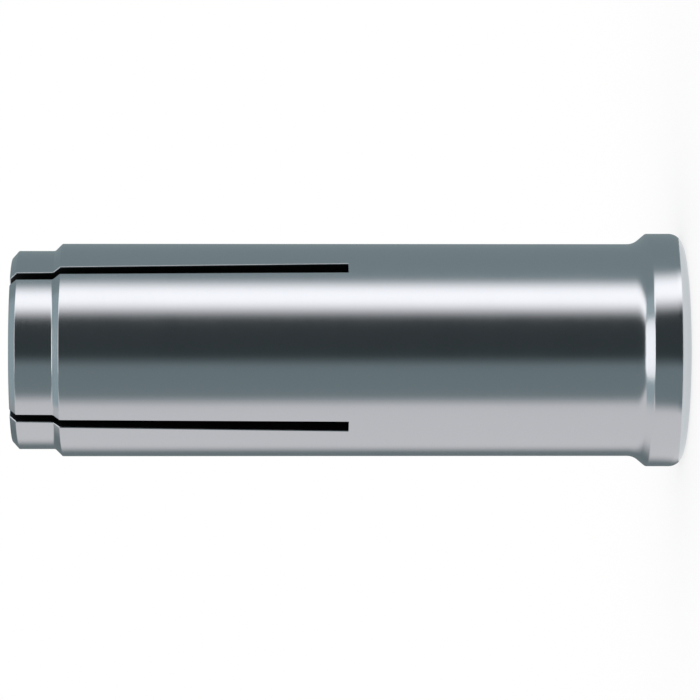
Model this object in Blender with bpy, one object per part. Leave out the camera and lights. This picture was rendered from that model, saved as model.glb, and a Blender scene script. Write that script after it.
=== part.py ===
"""Drop-in expansion anchor with a lip, standing on its lip with the slotted tip up.

Two pieces, as the real one is made: a steel sleeve, drilled, tapped and slit, and
the loose cone-nosed plug that a setting tool drives into the taper to spread it.

Metres, +Z up. The origin is on the anchor's axis at the lip's outer face.
The side of the sleeve that faces -Y is the middle of one of the four fingers.
"""

import math

import bmesh
import bpy
from mathutils import Vector

MM = 0.001

# Outside of the sleeve, from the lip's face up to the tip
LENGTH = 40.0 * MM
BODY_DIAMETER = 12.7 * MM
LIP_OVERHANG = 0.62 * MM
LIP_RIM_HEIGHT = 2.15 * MM
LIP_EDGE_RADIUS = 0.75 * MM
LIP_FLARE_ANGLE = math.radians(40)
LIP_FLARE_CREST_RADIUS = 0.2 * MM
LIP_FLARE_FOOT_RADIUS = 1.0 * MM
TIP_STEP = 0.43 * MM
TIP_BAND_LENGTH = 2.55 * MM
TIP_SHOULDER_ANGLE = math.radians(45)
TIP_SHOULDER_CREST_RADIUS = 0.1 * MM
TIP_SHOULDER_FOOT_RADIUS = 0.2 * MM
TIP_CHAMFER_LENGTH = 0.4 * MM
TIP_CHAMFER_DEPTH = 0.45 * MM
TIP_CHAMFER_EDGE_RADIUS = 0.1 * MM

# Thread in the mouth, right-handed: 3/8 inch, 16 turns to the inch. The wall is
# what is left between the thread's deepest line and the outside of the body.
THREAD_WALL = 1.5875 * MM
THREAD_PITCH = 1.5875 * MM
THREAD_LENGTH = 15.9 * MM
THREAD_FLANK_ANGLE = math.radians(30)
THREAD_RUN_OUT_TURNS = 0.75
MOUTH_CLEARANCE = 0.19 * MM
MOUTH_COUNTERSINK_ANGLE = math.radians(45)

# Behind the thread: the tap drill's bore, then a taper to a smaller hole at the tip
TAPER_ANGLE = math.radians(14)
TIP_WALL = 3.32 * MM
TIP_HOLE_LENGTH = 9.7 * MM
TIP_HOLE_CHAMFER = 0.3 * MM

# Two straight saw cuts make the four slots. They cross on the axis at the tip,
# and a little behind it at their roots, where the blade was also wider.
SAW_CUTS = 2
SLOT_LENGTH = 19.95 * MM
SLOT_TIP_WIDTH = 0.54 * MM
SLOT_ROOT_WIDTH = 0.78 * MM
SLOT_ROOT_SETBACK = 0.4 * MM
SAW_DIAMETER = 63.0 * MM

# Expander plug, parked in the bore with its nose in the taper
PLUG_SIDE_CLEARANCE = 0.25 * MM
PLUG_SEAT_CLEARANCE = 0.3 * MM
PLUG_LENGTH = 10.8 * MM
PLUG_NOSE_LENGTH = 4.2 * MM
PLUG_BACK_CHAMFER = 0.5 * MM
PLUG_NOSE_EDGE_RADIUS = 0.25 * MM

# Fineness of the solids, and how far a cutter starts outside what it cuts
TURN_STEPS = 48
ARC_STEP_ANGLE = math.radians(22.5)
SAW_ARC_STEPS = 12
SHARP_EDGE_ANGLE = math.radians(30)
CUT_OVERRUN = 1.0 * MM
TAP_OVERRUN = 0.25 * MM

# Sizes that follow from the ones above
BODY_RADIUS = BODY_DIAMETER / 2
LIP_RADIUS = BODY_RADIUS + LIP_OVERHANG
TIP_RADIUS = BODY_RADIUS - TIP_STEP
THREAD_RADIUS = BODY_RADIUS - THREAD_WALL
BORE_RADIUS = THREAD_RADIUS - THREAD_PITCH / 2
MOUTH_RADIUS = THREAD_RADIUS + MOUTH_CLEARANCE
TIP_HOLE_RADIUS = TIP_RADIUS - TIP_WALL
TAPER_END = LENGTH - TIP_HOLE_LENGTH
TAPER_START = TAPER_END - (BORE_RADIUS - TIP_HOLE_RADIUS) / math.tan(TAPER_ANGLE)

ZINC_PLATE = {"color": (0.60, 0.64, 0.67, 1.0), "roughness": 0.22}
BRIGHT_STEEL = {"color": (0.50, 0.51, 0.52, 1.0), "roughness": 0.35}


def clear_scene():
    for obj in list(bpy.data.objects):
        bpy.data.objects.remove(obj)


def metal(name, color, roughness):
    material = bpy.data.materials.new(name)
    material.use_nodes = True
    shader = material.node_tree.nodes["Principled BSDF"]
    shader.inputs["Base Color"].default_value = color
    shader.inputs["Roughness"].default_value = roughness
    shader.inputs["Metallic"].default_value = 1.0
    return material


def rounded_corner(before, corner, after, radius):
    """The points of an arc of this radius that is tangent to both sides of a corner."""
    back = (before - corner).normalized()
    ahead = (after - corner).normalized()
    turn = math.pi - back.angle(ahead)
    if radius <= 0:
        return [corner.copy()]
    reach = radius * math.tan(turn / 2)
    centre = corner + (back + ahead).normalized() * (radius / math.cos(turn / 2))
    start = corner + back * reach - centre
    end = corner + ahead * reach - centre
    steps = math.ceil(turn / ARC_STEP_ANGLE)
    arc = []
    for step in range(steps + 1):
        share = step / steps
        along = math.sin((1 - share) * turn) * start + math.sin(share * turn) * end
        arc.append(centre + along / math.sin(turn))
    return arc


def closed_outline(corners):
    """Turns a loop of (radius, height, rounding) corners into (radius, height) points."""
    places = [Vector((radius, height)) for radius, height, _ in corners]
    outline = []
    for index, (_, _, rounding) in enumerate(corners):
        before = places[index - 1]
        after = places[(index + 1) % len(places)]
        outline.extend(rounded_corner(before, places[index], after, rounding))
    return outline


def mesh_object(name, mesh_builder, material=None):
    """A new object whose mesh is the closed, outward-facing result of mesh_builder."""
    mesh = bpy.data.meshes.new(name)
    bmesh.ops.recalc_face_normals(mesh_builder, faces=mesh_builder.faces)
    mesh_builder.to_mesh(mesh)
    mesh_builder.free()
    obj = bpy.data.objects.new(name, mesh)
    bpy.context.scene.collection.objects.link(obj)
    if material:
        mesh.materials.append(material)
        mesh.shade_smooth()
        mesh.set_sharp_from_angle(angle=SHARP_EDGE_ANGLE)
    return obj


def turned_piece(name, outline, material):
    """Spins an outline once about Z. Where it starts and ends on the axis it is open."""
    turned = bmesh.new()
    ring = [turned.verts.new((point.x, 0, point.y)) for point in outline]
    edges = [turned.edges.new(pair) for pair in zip(ring, ring[1:])]
    if outline[0].x > 0:
        edges.append(turned.edges.new((ring[-1], ring[0])))
    bmesh.ops.spin(
        turned,
        geom=ring + edges,
        axis=(0, 0, 1),
        cent=(0, 0, 0),
        angle=math.tau,
        steps=TURN_STEPS,
        use_merge=True,
    )
    bmesh.ops.remove_doubles(turned, verts=turned.verts, dist=1e-7)
    return mesh_object(name, turned, material)


def cut(target, cutter):
    """Takes the cutter's shape out of the target, and keeps the cutter as a guide."""
    cutter.hide_render = True
    cutter.display_type = "WIRE"
    difference = target.modifiers.new(cutter.name, "BOOLEAN")
    difference.operation = "DIFFERENCE"
    difference.object = cutter


def skin_between(builder, sections):
    """Joins a row of like sections, each a loop of vertices, and caps both ends."""
    corners = len(sections[0])
    for near, far in zip(sections, sections[1:]):
        for index in range(corners):
            after = (index + 1) % corners
            builder.faces.new((near[index], near[after], far[after], far[index]))
    builder.faces.new(sections[0])
    builder.faces.new(reversed(sections[-1]))


def sleeve_outline():
    """Half section of the sleeve: up the outside, over the tip and down the bore."""
    flare_top = LIP_RIM_HEIGHT + LIP_OVERHANG / math.tan(LIP_FLARE_ANGLE)
    shoulder_top = LENGTH - TIP_BAND_LENGTH
    shoulder_foot = shoulder_top - TIP_STEP / math.tan(TIP_SHOULDER_ANGLE)
    mouth_depth = (MOUTH_RADIUS - BORE_RADIUS) / math.tan(MOUTH_COUNTERSINK_ANGLE)
    lip = [
        (LIP_RADIUS, 0, LIP_EDGE_RADIUS),
        (LIP_RADIUS, LIP_RIM_HEIGHT, LIP_FLARE_CREST_RADIUS),
        (BODY_RADIUS, flare_top, LIP_FLARE_FOOT_RADIUS),
    ]
    tip = [
        (BODY_RADIUS, shoulder_foot, TIP_SHOULDER_CREST_RADIUS),
        (TIP_RADIUS, shoulder_top, TIP_SHOULDER_FOOT_RADIUS),
        (TIP_RADIUS, LENGTH - TIP_CHAMFER_LENGTH, TIP_CHAMFER_EDGE_RADIUS),
        (TIP_RADIUS - TIP_CHAMFER_DEPTH, LENGTH, TIP_CHAMFER_EDGE_RADIUS),
    ]
    bore = [
        (TIP_HOLE_RADIUS + TIP_HOLE_CHAMFER, LENGTH, 0),
        (TIP_HOLE_RADIUS, LENGTH - TIP_HOLE_CHAMFER, 0),
        (TIP_HOLE_RADIUS, TAPER_END, 0),
        (BORE_RADIUS, TAPER_START, 0),
        (BORE_RADIUS, mouth_depth, 0),
        (MOUTH_RADIUS, 0, 0),
    ]
    return closed_outline(lip + tip + bore)


def thread_cutter():
    """The tap's tooth as a helical ridge, which fades out into the bore's wall."""
    root_flat = THREAD_PITCH / 8
    foot_radius = BORE_RADIUS - TAP_OVERRUN
    faded_radius = BORE_RADIUS - TAP_OVERRUN / 2
    turns = THREAD_LENGTH / THREAD_PITCH + 1
    steps = round(turns * TURN_STEPS)
    fade_steps = round(THREAD_RUN_OUT_TURNS * TURN_STEPS)

    ridge = bmesh.new()
    sections = []
    for step in range(steps + 1):
        angle = math.tau * step / TURN_STEPS
        height = THREAD_PITCH * (step / TURN_STEPS - 1)
        fade = min(1.0, (steps - step) / fade_steps)
        crest_radius = faded_radius + (THREAD_RADIUS - faded_radius) * fade
        crest_half = root_flat / 2
        foot_half = crest_half + (crest_radius - foot_radius) * math.tan(THREAD_FLANK_ANGLE)
        tooth = [
            (foot_radius, -foot_half),
            (crest_radius, -crest_half),
            (crest_radius, crest_half),
            (foot_radius, foot_half),
        ]
        sections.append(
            [
                ridge.verts.new((radius * math.cos(angle), radius * math.sin(angle), height + rise))
                for radius, rise in tooth
            ]
        )
    skin_between(ridge, sections)
    return mesh_object("thread_tap", ridge)


def slot_cutter(name, azimuth):
    """One saw cut through the tube: wider at its root, its floor the saw's arc."""
    saw_radius = SAW_DIAMETER / 2
    saw_centre = LENGTH - SLOT_LENGTH + math.sqrt(saw_radius**2 - BODY_RADIUS**2)
    half_chord = BODY_RADIUS + CUT_OVERRUN
    along = Vector((math.cos(azimuth), math.sin(azimuth), 0))
    across = Vector((-math.sin(azimuth), math.cos(azimuth), 0))

    outline = [(half_chord, LENGTH + CUT_OVERRUN), (-half_chord, LENGTH + CUT_OVERRUN)]
    for step in range(SAW_ARC_STEPS + 1):
        place = half_chord * (2 * step / SAW_ARC_STEPS - 1)
        outline.append((place, saw_centre - math.sqrt(saw_radius**2 - place**2)))

    blade = bmesh.new()
    faces = []
    for side in (-1, 1):
        face = []
        for place, height in outline:
            depth = (LENGTH - height) / SLOT_LENGTH
            width = SLOT_TIP_WIDTH + (SLOT_ROOT_WIDTH - SLOT_TIP_WIDTH) * depth
            lean = SLOT_ROOT_SETBACK * across.y * depth
            corner = along * place + across * (lean + side * width / 2)
            face.append(blade.verts.new((corner.x, corner.y, height)))
        faces.append(face)
    skin_between(blade, faces)
    return mesh_object(name, blade)


def build_sleeve(material):
    sleeve = turned_piece("anchor_sleeve", sleeve_outline(), material)
    cut(sleeve, thread_cutter())
    for index in range(SAW_CUTS):
        azimuth = math.pi * (index + 0.5) / SAW_CUTS
        cut(sleeve, slot_cutter(f"slot_saw_{index + 1}", azimuth))
    return sleeve


def build_plug(material):
    """A turned plug, chamfered at the back, its nose cone matching the bore's taper."""
    plug_radius = BORE_RADIUS - PLUG_SIDE_CLEARANCE
    seat_gap = PLUG_SEAT_CLEARANCE / math.cos(TAPER_ANGLE)
    nose_start = TAPER_START + (PLUG_SIDE_CLEARANCE - seat_gap) / math.tan(TAPER_ANGLE)
    nose_end = nose_start + PLUG_NOSE_LENGTH
    nose_radius = plug_radius - PLUG_NOSE_LENGTH * math.tan(TAPER_ANGLE)
    back = nose_end - PLUG_LENGTH
    outline = closed_outline(
        [
            (0, back, 0),
            (plug_radius - PLUG_BACK_CHAMFER, back, 0),
            (plug_radius, back + PLUG_BACK_CHAMFER, 0),
            (plug_radius, nose_start, 0),
            (nose_radius, nose_end, PLUG_NOSE_EDGE_RADIUS),
            (0, nose_end, 0),
        ]
    )
    return turned_piece("expander_plug", outline, material)


def main():
    clear_scene()
    build_sleeve(metal("zinc_plated_steel", **ZINC_PLATE))
    build_plug(metal("bright_steel", **BRIGHT_STEEL))


main()
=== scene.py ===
# %% [markdown]
# # A drop-in anchor with a lip
#
# A drop-in anchor is a steel sleeve that goes into a hole drilled in concrete. Its mouth
# is threaded, its tip is slit into four fingers, and a loose plug inside spreads the
# fingers when a setting tool drives it home.
#
# The frame holds the two solids at their real size. This script makes a finer surface
# for each, gives them their metal, and sets up the studio and the camera.

import math

import bmesh
import bpy
import numpy as np
from mathutils import Matrix, Vector


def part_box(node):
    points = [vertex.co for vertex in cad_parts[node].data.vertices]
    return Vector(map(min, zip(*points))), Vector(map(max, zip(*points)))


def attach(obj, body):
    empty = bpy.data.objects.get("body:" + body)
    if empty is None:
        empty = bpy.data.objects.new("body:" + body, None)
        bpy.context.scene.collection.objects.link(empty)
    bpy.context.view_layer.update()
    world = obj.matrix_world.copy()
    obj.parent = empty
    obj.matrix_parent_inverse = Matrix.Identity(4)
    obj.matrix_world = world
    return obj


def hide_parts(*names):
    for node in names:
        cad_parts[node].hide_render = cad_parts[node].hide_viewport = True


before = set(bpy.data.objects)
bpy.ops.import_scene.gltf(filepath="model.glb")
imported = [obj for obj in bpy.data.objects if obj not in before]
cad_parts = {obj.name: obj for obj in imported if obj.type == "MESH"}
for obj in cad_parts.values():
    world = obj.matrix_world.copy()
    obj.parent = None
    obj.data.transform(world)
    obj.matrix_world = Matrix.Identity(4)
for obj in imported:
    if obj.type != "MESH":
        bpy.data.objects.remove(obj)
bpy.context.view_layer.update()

# %% [markdown]
# ## Sizes
#
# The frame gives the overall length and the lip's width, and everything else is measured
# inward from those two. A turned part is drawn as half of its section, so most sizes
# are radii and heights. The origin is on the axis, at the face of the lip.

# %% Sizes that the frame gives, and the steps from them
MM = 0.001
low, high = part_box("anchor_sleeve")
LENGTH = high.z
LIP_RADIUS = high.x
LIP_OVERHANG = 0.62 * MM
TIP_STEP = 0.43 * MM
THREAD_WALL = 1.5875 * MM
THREAD_PITCH = 1.5875 * MM
MOUTH_CLEARANCE = 0.19 * MM
TIP_WALL = 3.32 * MM

BODY_RADIUS = LIP_RADIUS - LIP_OVERHANG
TIP_RADIUS = BODY_RADIUS - TIP_STEP
THREAD_RADIUS = BODY_RADIUS - THREAD_WALL
BORE_RADIUS = THREAD_RADIUS - THREAD_PITCH / 2
MOUTH_RADIUS = THREAD_RADIUS + MOUTH_CLEARANCE
TIP_HOLE_RADIUS = TIP_RADIUS - TIP_WALL
print("length", LENGTH, "body radius", BODY_RADIUS, "bore radius", BORE_RADIUS)

# %% Heights along the sleeve
RIM_HEIGHT = 2.15 * MM
FLARE_ANGLE = math.radians(40)
FLARE_TOP = RIM_HEIGHT + LIP_OVERHANG / math.tan(FLARE_ANGLE)
TIP_BAND = 2.55 * MM
SHOULDER_ANGLE = math.radians(45)
SHOULDER_TOP = LENGTH - TIP_BAND
SHOULDER_FOOT = SHOULDER_TOP - TIP_STEP / math.tan(SHOULDER_ANGLE)
CHAMFER_LENGTH = 0.4 * MM
CHAMFER_DEPTH = 0.45 * MM
TAPER_ANGLE = math.radians(14)
TIP_HOLE_LENGTH = 9.7 * MM
TAPER_END = LENGTH - TIP_HOLE_LENGTH
TAPER_START = TAPER_END - (BORE_RADIUS - TIP_HOLE_RADIUS) / math.tan(TAPER_ANGLE)
THREAD_LENGTH = 15.9 * MM
print("flare ends at", FLARE_TOP, "shoulder starts at", SHOULDER_FOOT)

# %% [markdown]
# ## A half section with rounded corners
#
# Every edge of a turned and plated part is a little round, and that roundness is what
# catches the light. So the half section is a list of corners, each with a radius, and
# the sharp corners get a very small one. An arc is put in at each corner, and the
# straight stretches between the arcs are cut into rows. The first and the last row of a
# stretch are narrow: they keep the shading of the arc from bleeding into the flat.

# %% Arcs and straight rows
ARC_STEP = math.radians(11)
EDGE_BREAK = 0.06 * MM
GUARD = 0.03 * MM


def corner_arc(before, corner, after, radius):
    """An arc tangent to both sides of a corner: its centre lies on the bisector, and its
    points turn evenly from one side's foot to the other's."""
    back = (before - corner) / np.linalg.norm(before - corner)
    ahead = (after - corner) / np.linalg.norm(after - corner)
    turn = math.pi - math.acos(np.clip(back @ ahead, -1, 1))
    bisector = (back + ahead) / np.linalg.norm(back + ahead)
    centre = corner + bisector * radius / math.cos(turn / 2)
    reach = radius * math.tan(turn / 2)
    start, end = corner + back * reach - centre, corner + ahead * reach - centre
    steps = max(2, math.ceil(turn / ARC_STEP))
    share = np.linspace(0, 1, steps + 1)[:, None]
    return centre + (np.sin((1 - share) * turn) * start + np.sin(share * turn) * end) / math.sin(turn)


def straight_rows(start, end, count):
    """Points from start to end: a narrow guard row at each end and even rows between.
    It leaves out both end points, which belong to the arcs beside it."""
    length = np.linalg.norm(end - start)
    guard = min(GUARD, length / 4) / length
    share = np.concatenate([[guard], np.linspace(guard, 1 - guard, max(count, 2))[1:-1], [1 - guard]])
    return start + share[:, None] * (end - start)


def half_section(corners, counts):
    """Joins the arcs of the corners between the first and the last with straight rows.
    Each corner is (radius from the axis, height, rounding), and counts says how many
    rows each stretch has. The first and last corners are plain end points."""
    points = [np.array(corner[:2]) for corner in corners]
    arcs = [points[0][None]]
    for index in range(1, len(corners) - 1):
        arcs.append(corner_arc(points[index - 1], points[index], points[index + 1], corners[index][2]))
    arcs.append(points[-1][None])
    joined = [arcs[0]]
    for near, far, count in zip(arcs, arcs[1:], counts):
        joined += [straight_rows(near[-1], far[0], count), far]
    return np.concatenate(joined)


# %% [markdown]
# ## The slots
#
# Two straight saw cuts through the tip make four slots. Each is wider at its root than
# at the tip, and in this anchor both cuts lean back a little, so the two slots on the
# side that faces -Y stand farther apart at their roots.
#
# The skin of the sleeve is one grid: rows follow the half section, and columns go round
# the axis. Near a slot the columns are placed by their distance from the saw's middle
# plane, so that a row of points falls exactly on each edge of the cut.

# %% The saw's path
SLOT_LENGTH = 19.95 * MM
SLOT_TIP_WIDTH = 0.54 * MM
SLOT_ROOT_WIDTH = 0.78 * MM
SLOT_LEAN = 0.4 * MM * math.sin(math.radians(45))
SAW_RADIUS = 31.5 * MM
SLOT_EDGE = 0.05 * MM

SLOT_AZIMUTHS = np.radians([45.0, 135.0, 225.0, 315.0])
LEAN_SIDES = np.array([1.0, -1.0, -1.0, 1.0])
SAW_CENTRE = LENGTH - SLOT_LENGTH + math.sqrt(SAW_RADIUS**2 - BODY_RADIUS**2)


def saw_floor(radius):
    """Height of the slot's floor at a radius: the bottom of the round saw blade."""
    return SAW_CENTRE - np.sqrt(SAW_RADIUS**2 - np.square(radius))


ROOT_OUTSIDE = float(saw_floor(BODY_RADIUS))
ROOT_INSIDE = float(saw_floor(BORE_RADIUS))
print("slot root outside", ROOT_OUTSIDE, "inside", ROOT_INSIDE)

# %% Columns round the axis
FINGER_COLUMNS = 36
edge_turn = np.radians([0.0, 30.0, 60.0, 90.0])
edge_reach = SLOT_EDGE * (1 - np.cos(edge_turn))
beside_slot = np.concatenate([edge_reach, [SLOT_EDGE + GUARD]])
SLOT_SHARE = np.concatenate([-np.ones(5), [-0.5, 0.0, 0.5], np.ones(5)])
SLOT_BESIDE = np.concatenate([-beside_slot[::-1], [0.0, 0.0, 0.0], beside_slot])
SLOT_COLUMNS = len(SLOT_SHARE)
QUARTER_COLUMNS = SLOT_COLUMNS + FINGER_COLUMNS - 1
BEFORE_EDGE, AFTER_EDGE = 4, 8
print("columns in all", 4 * QUARTER_COLUMNS)


def edge_drop(distance):
    """How far a broken edge lies under the surface, this far from it: a quarter circle."""
    inside = np.clip(SLOT_EDGE - distance, 0, SLOT_EDGE)
    return SLOT_EDGE - np.sqrt(SLOT_EDGE**2 - inside**2)


def place_columns(points, below_root, grip_radius):
    """Puts every row of the half section round the axis.
    The columns by a slot stand at an azimuth whose sine is their distance from the
    saw's plane over the radius. Those of a finger divide what is left evenly. Points
    nearer to a slot than the broken edge's radius sink along the row's own normal.
    Returns the positions and the azimuths."""
    radius, height = points[:, 0], points[:, 1]
    path = np.gradient(points, axis=0)
    normal = np.stack([path[:, 1], -path[:, 0]], 1)
    normal /= np.linalg.norm(normal, axis=1)[:, None]

    depth = np.clip((LENGTH - height) / SLOT_LENGTH, 0, 1)
    width = SLOT_TIP_WIDTH + (SLOT_ROOT_WIDTH - SLOT_TIP_WIDTH) * depth
    from_plane = SLOT_SHARE * width[:, None] / 2 + SLOT_BESIDE
    beside = np.maximum(np.abs(from_plane) - width[:, None] / 2, 0)
    drop = edge_drop(np.hypot(beside, np.maximum(below_root, 0)[:, None]))
    row_radius = radius[:, None] - normal[:, :1] * drop
    row_height = height[:, None] - normal[:, 1:] * drop

    grip = np.where(np.isnan(grip_radius)[:, None], row_radius, grip_radius[:, None])
    lean = SLOT_LEAN * depth[:, None, None] * LEAN_SIDES[:, None]
    offset = (lean + from_plane[:, None, :]) / grip[:, None, :]
    azimuth = SLOT_AZIMUTHS[:, None] + np.arcsin(np.clip(offset, -1, 1))

    following = np.roll(azimuth, -1, axis=1)[:, :, 0] + np.array([0, 0, 0, math.tau])
    share = np.linspace(0, 1, FINGER_COLUMNS + 1)[1:-1]
    between = azimuth[:, :, -1:] + (following - azimuth[:, :, -1])[:, :, None] * share
    azimuth = np.concatenate([azimuth, between], 2).reshape(len(points), -1)

    flat_radius = np.repeat(radius[:, None], FINGER_COLUMNS - 1, 1)
    flat_height = np.repeat(height[:, None], FINGER_COLUMNS - 1, 1)
    row_radius = np.tile(np.concatenate([row_radius, flat_radius], 1), (1, 4))
    row_height = np.tile(np.concatenate([row_height, flat_height], 1), (1, 4))
    placed = np.stack([row_radius * np.cos(azimuth), row_radius * np.sin(azimuth), row_height], 2)
    return placed, azimuth


# %% [markdown]
# ## Joining grids into one mesh
#
# Each surface is a grid of points. Two neighbouring rows and columns make a quad. The
# grids share their border points, so once they are all in one mesh, points that lie on
# each other are merged and the sleeve becomes one closed skin.

# %% Grid helpers


def grid_quads(rows, columns, closed=False, keep=None, flip=False):
    """The quads of a grid, as numbers of its points counted row by row. A closed grid
    joins its last column to its first, and keep is a mask of the quads to use."""
    row = np.arange(rows - 1)[:, None]
    column = np.arange(columns if closed else columns - 1)[None]
    after = (column + 1) % columns
    quads = np.stack(
        [
            row * columns + column,
            row * columns + after,
            (row + 1) * columns + after,
            (row + 1) * columns + column,
        ],
        2,
    )
    quads = quads.reshape(-1, 4) if keep is None else quads[keep]
    return quads[:, ::-1] if flip else quads


def fill_between(low_side, high_side, first_side, last_side):
    """A Coons patch: the grid between four border lines. It adds the blend of the two
    long sides to the blend of the two short ones and takes away that of the corners."""
    across = np.linspace(0, 1, len(low_side))[None, :, None]
    along = np.linspace(0, 1, len(first_side))[:, None, None]
    long_blend = (1 - along) * low_side[None] + along * high_side[None]
    short_blend = (1 - across) * first_side[:, None] + across * last_side[:, None]
    corners = (1 - along) * ((1 - across) * low_side[0] + across * low_side[-1])
    corners = corners + along * ((1 - across) * high_side[0] + across * high_side[-1])
    return long_blend + short_blend - corners


def mesh_from_grids(name, grids):
    """One object from (points, quads, material number) grids, its doubles merged."""
    counts = np.cumsum([0] + [points.reshape(-1, 3).shape[0] for points, _, _ in grids])
    points = np.concatenate([points.reshape(-1, 3) for points, _, _ in grids])
    quads = np.concatenate([quads + first for (_, quads, _), first in zip(grids, counts)])
    material = np.concatenate([np.full(len(faces), number) for _, faces, number in grids])
    mesh = bpy.data.meshes.new(name)
    mesh.from_pydata(points.tolist(), [], quads.tolist())
    mesh.polygons.foreach_set("material_index", material.astype(np.int32))
    welded = bmesh.new()
    welded.from_mesh(mesh)
    bmesh.ops.remove_doubles(welded, verts=welded.verts, dist=2e-8)
    bmesh.ops.dissolve_degenerate(welded, edges=welded.edges, dist=1e-9)
    open_edges = sum(not edge.is_manifold for edge in welded.edges)
    volume = welded.calc_volume(signed=True) / MM**3
    welded.to_mesh(mesh)
    welded.free()
    mesh.shade_smooth()
    piece = bpy.data.objects.new(name, mesh)
    bpy.context.scene.collection.objects.link(piece)
    triangles = sum(len(face.vertices) - 2 for face in mesh.polygons)
    print(name, "triangles", triangles, "open edges", open_edges, "volume mm3", round(volume, 1))
    return piece


# %% [markdown]
# ## The sleeve's skin
#
# The half section starts at the mouth, crosses the lip's face, goes up the outside and
# over the tip, and comes down the bore to where the thread begins. The rows between the
# two slot roots have no skin in the slot columns: that is where the saw went through.

# %% Outside, tip and bore as one half section
ROOT_ROWS = SLOT_EDGE * (1 - np.cos(edge_turn))[::-1]
THREAD_TOP = THREAD_LENGTH + 1.0 * MM
LIP_EDGE = 0.75 * MM
RIM_EDGE = 0.2 * MM
FLARE_HOLLOW = 1.0 * MM
SHOULDER_EDGE = 0.1 * MM
SHOULDER_HOLLOW = 0.2 * MM
CHAMFER_EDGE = 0.1 * MM
TIP_HOLE_CHAMFER = 0.3 * MM
HOLE_EDGE_RADIUS = TIP_HOLE_RADIUS + TIP_HOLE_CHAMFER

foot = half_section(
    [
        (MOUTH_RADIUS, 0.0, 0),
        (LIP_RADIUS, 0.0, LIP_EDGE),
        (LIP_RADIUS, RIM_HEIGHT, RIM_EDGE),
        (BODY_RADIUS, FLARE_TOP, FLARE_HOLLOW),
        (BODY_RADIUS, ROOT_OUTSIDE - SLOT_EDGE - GUARD, 0),
    ],
    [6, 8, 6, 30],
)
outside_root = np.stack([np.full(4, BODY_RADIUS), ROOT_OUTSIDE - ROOT_ROWS], 1)[:-1]
outside = half_section(
    [
        (BODY_RADIUS, ROOT_OUTSIDE, 0),
        (BODY_RADIUS, SHOULDER_FOOT, SHOULDER_EDGE),
        (TIP_RADIUS, SHOULDER_TOP, SHOULDER_HOLLOW),
        (TIP_RADIUS, LENGTH - CHAMFER_LENGTH, CHAMFER_EDGE),
        (TIP_RADIUS - CHAMFER_DEPTH, LENGTH, CHAMFER_EDGE),
        (HOLE_EDGE_RADIUS, LENGTH, 0),
    ],
    [36, 4, 8, 4, 12],
)
face_rows = int(np.sum(np.abs(outside[:, 1] - LENGTH) < 1e-9)) - 1
rows_to_face = len(outside) - 1 - face_rows


def bore_side(long_rows):
    """The half section from the tip's face down the hole, the taper and the bore."""
    return half_section(
        [
            (HOLE_EDGE_RADIUS, LENGTH, 0),
            (TIP_HOLE_RADIUS, LENGTH - TIP_HOLE_CHAMFER, EDGE_BREAK),
            (TIP_HOLE_RADIUS, TAPER_END, EDGE_BREAK),
            (BORE_RADIUS, TAPER_START, EDGE_BREAK),
            (BORE_RADIUS, ROOT_INSIDE, 0),
        ],
        [3, 12, 8, long_rows],
    )


inside = bore_side(rows_to_face - len(bore_side(2)) + 3)
inside_root = np.stack([np.full(4, BORE_RADIUS), ROOT_INSIDE - ROOT_ROWS[::-1]], 1)[1:]
bore = half_section([(BORE_RADIUS, ROOT_INSIDE - SLOT_EDGE - GUARD, 0), (BORE_RADIUS, THREAD_TOP, 0)], [6])
section = np.concatenate([foot, outside_root, outside, inside[1:], inside_root, bore])
print("rows from root to tip face", rows_to_face, "and back down", len(inside) - 1)

# %% The skin grid
first_cut = len(foot) + len(outside_root)
face_start = first_cut + rows_to_face
face_end = face_start + face_rows
last_cut = face_end + len(inside) - 1

below_root = np.zeros(len(section))
below_root[:first_cut] = ROOT_OUTSIDE - section[:first_cut, 1]
below_root[last_cut + 1 :] = ROOT_INSIDE - section[last_cut + 1 :, 1]
grip_radius = np.full(len(section), np.nan)
across_face = np.abs(section[:, 1]) < 1e-9
grip_radius[:first_cut] = BODY_RADIUS
FACE_END = LIP_RADIUS - 0.5 * MM
grip_radius[across_face] = np.interp(
    section[across_face, 0], [MOUTH_RADIUS, FACE_END], [BORE_RADIUS, BODY_RADIUS]
)
grip_radius[last_cut + 1 :] = BORE_RADIUS
skin, azimuths = place_columns(section, below_root, grip_radius)

column_in_quarter = np.arange(skin.shape[1]) % QUARTER_COLUMNS
in_slot = (column_in_quarter >= BEFORE_EDGE) & (column_in_quarter < AFTER_EDGE)
row_number = np.arange(len(section) - 1)
is_cut = (row_number >= first_cut) & (row_number < last_cut)
keep = ~(is_cut[:, None] & in_slot[None])
outer_rows = row_number < face_end
columns = skin.shape[1]
outer_quads = grid_quads(len(skin), columns, closed=True, keep=keep & outer_rows[:, None])
bore_quads = grid_quads(len(skin), columns, closed=True, keep=keep & ~outer_rows[:, None])
print("skin grid", skin.shape, "rows cut", int(is_cut.sum()))

# %% [markdown]
# ## The slot walls and floors
#
# Each slot has two flat walls and a floor. A wall's borders are already there: the
# skin's edge up the outside, across the tip's face and down the bore, and the line of
# the floor. A Coons patch fills a grid between them.

# %% Walls and floors of the four slots
# Material numbers: the zinc plate; the slot walls and floors, whose near black is painted shade; the tapped
# bore and thread, darker partly for their thinner plating and partly as painted shade.
PLATE, SAWN_PAINTED_SHADE, TAPPED_PAINTED_SHADE = 0, 1, 2


def floor_line(outer_point, inner_point):
    """Points across the wall at the slot's root, on the arc that the saw leaves."""
    share = np.linspace(0, 1, face_rows + 1)[:, None]
    line = outer_point + (inner_point - outer_point) * share
    ends = saw_floor(np.hypot(line[[0, -1], 0], line[[0, -1], 1]))
    arc = saw_floor(np.hypot(line[:, 0], line[:, 1]))
    line[:, 2] += arc - (ends[0] + (ends[1] - ends[0]) * share[:, 0])
    return line


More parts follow.
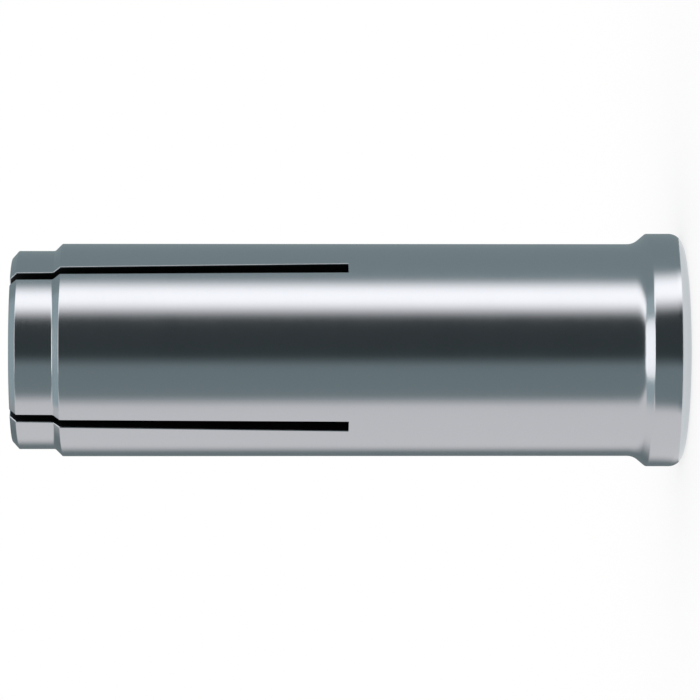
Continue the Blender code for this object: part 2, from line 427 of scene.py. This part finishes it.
def slot_surfaces(slot):
    """The wall on each side of a slot, and its floor, as grids ready to join."""
    first = slot * QUARTER_COLUMNS
    surfaces, floor_sides = [], []
    for edge, flip in ((first + BEFORE_EDGE, False), (first + AFTER_EDGE, True)):
        border = skin[:, edge]
        root_line = floor_line(border[first_cut], border[last_cut])
        wall = fill_between(
            root_line,
            border[face_start : face_end + 1],
            border[first_cut : face_start + 1],
            border[face_end : last_cut + 1][::-1],
        )
        surfaces.append((wall, grid_quads(*wall.shape[:2], flip=flip), SAWN_PAINTED_SHADE))
        floor_sides.append(root_line)
    slot_columns = slice(first + BEFORE_EDGE, first + AFTER_EDGE + 1)
    floor = fill_between(
        floor_sides[0], floor_sides[1], skin[first_cut, slot_columns], skin[last_cut, slot_columns]
    )
    surfaces.append((floor, grid_quads(*floor.shape[:2], flip=True), SAWN_PAINTED_SHADE))
    return surfaces


slot_grids = [surface for slot in range(4) for surface in slot_surfaces(slot)]
print("slot surfaces", len(slot_grids))

# %% [markdown]
# ## The thread
#
# The thread's rows follow the helix, so that its crest and its root stay clean lines.
# One turn round the axis lifts a row by one pitch, where it meets the row one pitch
# further on. Rows that would pass the mouth or the end of the tapped length are held at
# that height, and shrink to nothing there.

# %% Helical rows
FLANK = math.tan(math.radians(30))
ROOT_HALF = THREAD_PITCH / 16
CREST_START = ROOT_HALF + (THREAD_RADIUS - BORE_RADIUS) * FLANK
RUN_OUT_TURNS = 0.75
TAP_OVERRUN = 0.25 * MM
NICK = 0.02 * MM

half_rows = np.array(
    [
        0.0,
        ROOT_HALF - NICK,
        ROOT_HALF + NICK,
        (ROOT_HALF + CREST_START) / 2,
        CREST_START - NICK,
        CREST_START + NICK,
        THREAD_PITCH / 2 - NICK,
    ]
)
across_pitch = np.concatenate([-half_rows[:0:-1], half_rows])
TURNS = 13
rows_per_turn = len(across_pitch)
turn_of_row = np.repeat(np.arange(TURNS), rows_per_turn)[:, None]
offset_of_row = np.tile(across_pitch, TURNS)[:, None]

thread_azimuth = azimuths[-1][None]
turn_here = turn_of_row + thread_azimuth / math.tau
thread_height = THREAD_PITCH * (turn_here - 1) + offset_of_row
last_turn = THREAD_LENGTH / THREAD_PITCH + 1
fade = np.clip((last_turn - turn_here) / RUN_OUT_TURNS, 0, 1)
faded_radius = BORE_RADIUS - TAP_OVERRUN / 2
tooth_radius = faded_radius + (THREAD_RADIUS - faded_radius) * fade
flank_drop = np.maximum(np.abs(offset_of_row) - ROOT_HALF, 0) / FLANK
thread_radius = np.maximum(tooth_radius - flank_drop, BORE_RADIUS)
thread_radius = np.maximum(thread_radius, MOUTH_RADIUS - thread_height)
thread_radius = np.where(thread_height >= THREAD_TOP, BORE_RADIUS, thread_radius)
thread_radius = np.where(thread_height <= 0, MOUTH_RADIUS, thread_radius)
thread_height = np.clip(thread_height, 0, THREAD_TOP)
thread = np.stack(
    [thread_radius * np.cos(thread_azimuth), thread_radius * np.sin(thread_azimuth), thread_height], 2
)

# %% Joining each turn to the next
flat_quads = grid_quads(len(thread), columns, flip=True)
row = np.arange(len(thread) - 1 - rows_per_turn)
seam_quads = np.stack(
    [
        row * columns + columns - 1,
        (row + 1) * columns + columns - 1,
        (row + rows_per_turn + 1) * columns,
        (row + rows_per_turn) * columns,
    ],
    1,
)
thread_quads = np.concatenate([flat_quads, seam_quads])
print("thread rows", len(thread), "quads", len(thread_quads))

# %% The sleeve
sleeve = mesh_from_grids(
    "sleeve",
    [(skin, outer_quads, PLATE), (skin, bore_quads, TAPPED_PAINTED_SHADE), (thread, thread_quads, TAPPED_PAINTED_SHADE)] + slot_grids,
)

# %% [markdown]
# ## The expander plug
#
# The plug is a short turned bar with a cone for a nose. It waits in the bore, its cone
# against the taper, with a hair of clearance all round. Its half section is turned once
# round the axis on an even grid, and both ends close on the axis.

# %% Plug
PLUG_COLUMNS = 128
plug_low, plug_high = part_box("expander_plug")
PLUG_RADIUS = plug_high.x
NOSE_LENGTH = 4.2 * MM
NOSE_EDGE = 0.25 * MM
BACK_CHAMFER = 0.5 * MM
NOSE_START = plug_high.z - NOSE_LENGTH
NOSE_RADIUS = PLUG_RADIUS - NOSE_LENGTH * math.tan(TAPER_ANGLE)
plug_section = half_section(
    [
        (0.0, plug_low.z, 0),
        (PLUG_RADIUS - BACK_CHAMFER, plug_low.z, EDGE_BREAK),
        (PLUG_RADIUS, plug_low.z + BACK_CHAMFER, EDGE_BREAK),
        (PLUG_RADIUS, NOSE_START, EDGE_BREAK),
        (NOSE_RADIUS, plug_high.z, NOSE_EDGE),
        (0.0, plug_high.z, 0),
    ],
    [8, 4, 10, 8, 8],
)
turn = np.linspace(0, math.tau, PLUG_COLUMNS, endpoint=False)[None]
plug_points = np.stack(
    [
        plug_section[:, :1] * np.cos(turn),
        plug_section[:, :1] * np.sin(turn),
        np.repeat(plug_section[:, 1:], PLUG_COLUMNS, 1),
    ],
    2,
)
plug = mesh_from_grids("plug", [(plug_points, grid_quads(len(plug_points), PLUG_COLUMNS, closed=True), 0)])

# %% [markdown]
# ## Plated metal
#
# Zinc plating is a real metal skin, so the shader is fully metallic and its colour is
# the colour of its reflections. Left at that it looks like a perfect mirror. The real
# skin is a little uneven: its crystals cloud the reflection here and there, the lathe
# has left fine rings, and handling has left a few hair scratches. Those go into the
# roughness and a very small bump.

# %% Node helpers


def new_material(name, color, roughness):
    """A fully metallic material. Returns it, its nodes, its links and its shader."""
    material = bpy.data.materials.new(name)
    material.use_nodes = True
    nodes, links = material.node_tree.nodes, material.node_tree.links
    shader = nodes["Principled BSDF"]
    shader.inputs["Metallic"].default_value = 1.0
    shader.inputs["Base Color"].default_value = (*color, 1)
    shader.inputs["Roughness"].default_value = roughness
    return material, nodes, links, shader


def noise(nodes, links, scale, detail, stretch=(1, 1, 1)):
    """Noise on the piece's own coordinates, which are metres, stretched by a mapping."""
    place = nodes.new("ShaderNodeTexCoord")
    mapping = nodes.new("ShaderNodeMapping")
    mapping.inputs["Scale"].default_value = stretch
    texture = nodes.new("ShaderNodeTexNoise")
    texture.inputs["Scale"].default_value = scale
    texture.inputs["Detail"].default_value = detail
    links.new(place.outputs["Object"], mapping.inputs["Vector"])
    links.new(mapping.outputs["Vector"], texture.inputs["Vector"])
    return texture.outputs["Fac"]


def remap(nodes, links, value, low, high, to_low, to_high):
    """Carries a value from one range to another, held at both ends."""
    node = nodes.new("ShaderNodeMapRange")
    for name, number in zip(("From Min", "From Max", "To Min", "To Max"), (low, high, to_low, to_high)):
        node.inputs[name].default_value = number
    links.new(value, node.inputs["Value"])
    return node.outputs["Result"]


# %% Zinc plate
ZINC_COLOR = (0.60, 0.64, 0.67)
zinc, nodes, links, shader = new_material("zinc_plate", ZINC_COLOR, 0.19)


def blend(nodes, links, operation, first, second):
    """One number out of two, by a Math node. The second may be a plain number."""
    node = nodes.new("ShaderNodeMath")
    node.operation = operation
    links.new(first, node.inputs[0])
    if isinstance(second, float):
        node.inputs[1].default_value = second
    else:
        links.new(second, node.inputs[1])
    return node.outputs[0]


clouds = noise(nodes, links, 350, 4)
rings = noise(nodes, links, 1, 3, stretch=(60, 60, 7000))
hairs = noise(nodes, links, 1, 2, stretch=(5200, 5200, 150))
scratch = remap(nodes, links, hairs, 0.74, 0.80, 0, 1)
mottle = remap(nodes, links, clouds, 0.3, 0.7, 0.17, 0.19)
ring_haze = remap(nodes, links, rings, 0.35, 0.65, 0, 0.012)
scratch_haze = blend(nodes, links, "MULTIPLY", scratch, 0.04)
haze = blend(nodes, links, "ADD", mottle, ring_haze)
links.new(blend(nodes, links, "ADD", haze, scratch_haze), shader.inputs["Roughness"])

relief = blend(nodes, links, "SUBTRACT", rings, scratch)
bump = nodes.new("ShaderNodeBump")
bump.inputs["Strength"].default_value = 0.1
bump.inputs["Distance"].default_value = 0.002 * MM
links.new(relief, bump.inputs["Height"])
links.new(bump.outputs["Normal"], shader.inputs["Normal"])
print("plate", zinc.name)

# %% Slot walls and tapped bore, darkened with painted shade
# The slot walls and floors are painted near black: painted shade of the deep, narrow slots, not a colour of
# sawn steel.
sawn_painted_shade = new_material("slot_wall_painted_shade", (0.07, 0.073, 0.076), 0.5)[0]
# The tapped bore and thread are darker than bright steel partly for their thinner, duller plating and
# partly as painted shade of the bore's inside.
tapped_painted_shade = new_material("tapped_steel_painted_shade", (0.25, 0.255, 0.26), 0.4)[0]
for material in (zinc, sawn_painted_shade, tapped_painted_shade):
    sleeve.data.materials.append(material)

bright = new_material("turned_steel", (0.50, 0.51, 0.52), 0.35)[0]
plug.data.materials.append(bright)

# %% Riding and replacing
for piece, node, slot in (
    (sleeve, "anchor_sleeve", "zinc_plated_steel"),
    (plug, "expander_plug", "bright_steel"),
):
    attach(piece, "root")
    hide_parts(node)

# %% [markdown]
# ## The studio
#
# Metal has no look of its own: it shows what stands round it. The world is plain white,
# which lights everything at a level where a colour renders as it is written, and the
# floor is plain white too. Round the anchor stands a photographer's tent: a sheet bent
# up into walls, with its middle cut out for the anchor, and a ceiling. It is seen only in
# reflections. A key light, a fill light and the dim walls between them give the metal its
# long bands.

# %% World and floor
world = bpy.data.worlds.new("studio")
world.use_nodes = True
world.node_tree.nodes["Background"].inputs["Color"].default_value = (1, 1, 1, 1)
bpy.context.scene.world = world

FLOOR_HALF = 3.0
floor_mesh = bpy.data.meshes.new("floor")
floor_corners = FLOOR_HALF * np.array([[-1, -1, 0], [1, -1, 0], [1, 1, 0], [-1, 1, 0]])
floor_mesh.from_pydata(floor_corners.tolist(), [], [[0, 1, 2, 3]])
floor = bpy.data.objects.new("floor", floor_mesh)
bpy.context.scene.collection.objects.link(floor)

paper = bpy.data.materials.new("white_paper")
paper.use_nodes = True
nodes, links = paper.node_tree.nodes, paper.node_tree.links
nodes.clear()
SHADOW_SHARE = 0.3
ray = nodes.new("ShaderNodeLightPath")
seen = blend(nodes, links, "MAXIMUM", ray.outputs["Is Camera Ray"], ray.outputs["Is Glossy Ray"])
seen = blend(nodes, links, "MAXIMUM", seen, ray.outputs["Is Transmission Ray"])
share = blend(nodes, links, "MULTIPLY", seen, 1 - SHADOW_SHARE)
matt = nodes.new("ShaderNodeBsdfDiffuse")
matt.inputs["Color"].default_value = (1, 1, 1, 1)
lit = nodes.new("ShaderNodeEmission")
mix = nodes.new("ShaderNodeMixShader")
output = nodes.new("ShaderNodeOutputMaterial")
links.new(share, mix.inputs["Fac"])
links.new(matt.outputs[0], mix.inputs[1])
links.new(lit.outputs[0], mix.inputs[2])
links.new(mix.outputs[0], output.inputs["Surface"])
floor_mesh.materials.append(paper)

# %% The tent's lights
LIGHT_POWER = 2.0
COOL = (0.82, 1.0, 1.05)
EVEN = (1.05, 1.0, 1.01)
# Each is (first bearing, last bearing, light, tint), the bearings in degrees from the
# camera's side towards +X. Between two of them the light blends, like a soft edge.
BACK_DIM = (-180, -150, 0.2, COOL)
FILL_LIGHT = (-125, -65, 0.75, EVEN)
LEFT_GREY = (-50, -20, 0.25, COOL)
FRONT_DARK = (-5, 32, 0.05, COOL)
KEY_LIGHT = (56, 64, 1.5, EVEN)
RIGHT_GREY = (86, 180, 0.3, COOL)
LIGHTS = [BACK_DIM, FILL_LIGHT, LEFT_GREY, FRONT_DARK, KEY_LIGHT, RIGHT_GREY]


def tent_glow(name, lights):
    """A material that gives off the light of a row of lights, read by bearing."""
    material = bpy.data.materials.new(name)
    material.use_nodes = True
    nodes, links = material.node_tree.nodes, material.node_tree.links
    nodes.clear()
    bearing = nodes.new("ShaderNodeAttribute")
    bearing.attribute_name = "bearing"
    ramp = nodes.new("ShaderNodeValToRGB")
    ramp.color_ramp.interpolation = "EASE"
    stops = sorted({(edge, light, tint) for first, last, light, tint in lights for edge in (first, last)})
    while len(ramp.color_ramp.elements) < len(stops):
        ramp.color_ramp.elements.new(0.5)
    for stop, (degrees, light, tint) in zip(ramp.color_ramp.elements, stops):
        stop.position = degrees / 360 + 0.5
        stop.color = (*(light * channel / LIGHT_POWER for channel in tint), 1)
    glow = nodes.new("ShaderNodeEmission")
    glow.inputs["Strength"].default_value = LIGHT_POWER
    output = nodes.new("ShaderNodeOutputMaterial")
    links.new(bearing.outputs["Fac"], ramp.inputs["Fac"])
    links.new(ramp.outputs["Color"], glow.inputs["Color"])
    links.new(glow.outputs[0], output.inputs["Surface"])
    print(name, "has", len(stops), "stops")
    return material


tent_paper = tent_glow("tent", LIGHTS)

# %% The tent's shape
CAMERA_BEARING = math.radians(-2.2)
TENT_REACH = 0.9
TENT_HEIGHT = 1.4
TENT_FOOT = 0.0012
TENT_LIFT = 0.00015
TENT_BEND = 0.05
TENT_COLUMNS = 180
TENT_ROWS = [24, 6]
tent_section = half_section(
    [(TENT_FOOT, TENT_LIFT, 0), (TENT_REACH, TENT_LIFT, TENT_BEND), (TENT_REACH, TENT_HEIGHT, 0)], TENT_ROWS
)


def tent_surface(section, columns):
    """A sheet made of straight lines in plan. Each line leaves the body where light from
    the camera would strike it at half the line's bearing, and runs off at that bearing,
    which is the way the light would bounce. So one light of the tent makes one straight
    band on the anchor's body, from the shoulder down to the lip."""
    bearing = np.linspace(-math.pi, math.pi, columns)[None]
    out, height = section[:, :1], section[:, 1:]
    start = bearing / 2 + CAMERA_BEARING
    ahead = bearing + CAMERA_BEARING
    place = np.stack(
        [
            BODY_RADIUS * np.sin(start) + out * np.sin(ahead),
            -BODY_RADIUS * np.cos(start) - out * np.cos(ahead),
            np.repeat(height, columns, 1),
        ],
        2,
    )
    return place, np.broadcast_to(bearing / math.tau + 0.5, place.shape[:2])


def only_reflected(name, mesh, material):
    """A stage object that only reflections see."""
    mesh.materials.append(material)
    piece = bpy.data.objects.new(name, mesh)
    bpy.context.scene.collection.objects.link(piece)
    piece.visible_camera = False
    piece.visible_diffuse = False
    piece.visible_shadow = False
    piece.visible_transmission = False
    return piece


def stage_grid(name, points, bearing, material):
    """A grid of the studio as an object, seen only in reflections. Each of its points
    carries a bearing from 0 to 1, which its material reads."""
    mesh = bpy.data.meshes.new(name)
    mesh.from_pydata(points.reshape(-1, 3).tolist(), [], grid_quads(*points.shape[:2]).tolist())
    carried = mesh.attributes.new("bearing", "FLOAT", "POINT")
    carried.data.foreach_set("value", bearing.astype(np.float32).ravel())
    return only_reflected(name, mesh, material)


tent = stage_grid("tent", *tent_surface(tent_section, TENT_COLUMNS), tent_paper)
print("tent corners", len(tent.data.vertices))

# %% The ceiling
# The flare, the shoulder and the tip's chamfer slope, so they look up. The ceiling is grey,
# with one softbox on the camera's side that hangs just under it.
CEILING_HALF = 2.0
CEILING_LIGHT = 0.45
SOFTBOX_LIGHT = 1.5
SOFTBOX_DROP = 0.002
SOFTBOX_HALF_WIDTH = 0.5
SOFTBOX_BACK, SOFTBOX_FRONT = -0.25, -0.85


def glowing(name, light, tint):
    """A material that gives off the same light everywhere."""
    material = bpy.data.materials.new(name)
    material.use_nodes = True
    nodes, links = material.node_tree.nodes, material.node_tree.links
    nodes.clear()
    glow = nodes.new("ShaderNodeEmission")
    glow.inputs["Color"].default_value = (*(channel / LIGHT_POWER for channel in tint), 1)
    glow.inputs["Strength"].default_value = light * LIGHT_POWER
    output = nodes.new("ShaderNodeOutputMaterial")
    links.new(glow.outputs[0], output.inputs["Surface"])
    return material


def overhead(name, half_width, back, front, height, material):
    """A flat rectangle of the studio over the anchor."""
    mesh = bpy.data.meshes.new(name)
    corners = [
        (-half_width, front, height), (half_width, front, height), (half_width, back, height),
        (-half_width, back, height),
    ]
    mesh.from_pydata(corners, [], [[0, 1, 2, 3]])
    return only_reflected(name, mesh, material)


overhead(
    "ceiling", CEILING_HALF, CEILING_HALF, -CEILING_HALF, TENT_HEIGHT,
    glowing("ceiling", CEILING_LIGHT, COOL),
)
overhead(
    "softbox", SOFTBOX_HALF_WIDTH, SOFTBOX_BACK, SOFTBOX_FRONT, TENT_HEIGHT - SOFTBOX_DROP,
    glowing("softbox", SOFTBOX_LIGHT, EVEN),
)
print("the ceiling hangs at", TENT_HEIGHT)

# %% [markdown]
# ## The camera
#
# The picture was taken with a long lens from the side, with the anchor lying across it,
# tip to the left. The anchor stands here, so the camera is rolled a quarter turn.

# %% Camera
CAMERA_DISTANCE = 0.250
CAMERA_HEIGHT = 0.02589
CAMERA_PITCH = math.radians(1.383)
camera_data = bpy.data.cameras.new("camera")
camera_data.sensor_width = 36
camera_data.lens = 214.7
camera_data.clip_start = 0.01
camera = bpy.data.objects.new("camera", camera_data)
bpy.context.scene.collection.objects.link(camera)
toward = Vector((math.sin(CAMERA_BEARING), -math.cos(CAMERA_BEARING), 0))
picture_up = Vector((math.cos(CAMERA_BEARING), math.sin(CAMERA_BEARING), 0))
stand = toward * CAMERA_DISTANCE + Vector((0, 0, CAMERA_HEIGHT))
ahead = -toward * math.cos(CAMERA_PITCH) - Vector((0, 0, math.sin(CAMERA_PITCH)))
right = ahead.cross(picture_up)
camera.matrix_world = Matrix.Translation(stand) @ Matrix((right, picture_up, -ahead)).transposed().to_4x4()
bpy.context.scene.camera = camera

bpy.context.scene.view_settings.view_transform = "Standard"
